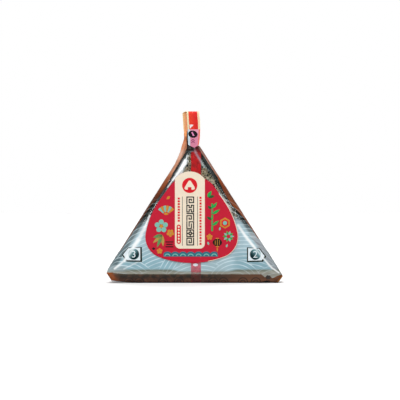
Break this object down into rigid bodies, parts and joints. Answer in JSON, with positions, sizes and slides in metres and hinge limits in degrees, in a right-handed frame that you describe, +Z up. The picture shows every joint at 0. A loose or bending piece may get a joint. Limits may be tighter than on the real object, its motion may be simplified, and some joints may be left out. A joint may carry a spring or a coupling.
{
  "type": "packaged rice ball",
  "caption": "Triangular seaweed rice ball sealed in printed film, standing on its base, with a front sticker, a tear tape all round and a pull tab at the apex.",
  "frame": {"origin": "middle of the object's box, at the flat base the pack stands on", "axes": "+Z up from the base to the pull tab, -Y out of the front with the sticker, +X to the right as the front is seen"},
  "size_m": [0.0952, 0.0302, 0.0929],
  "materials": {
    "film": "gloss",
    "label": "satin",
    "tape": "gloss",
    "tab": "gloss"
  },
  "bodies": {
    "root": {"film_pack": "film", "front_label": "label", "tear_tape": "tape", "pull_tab": "tab"}
  },
  "joints": []
}
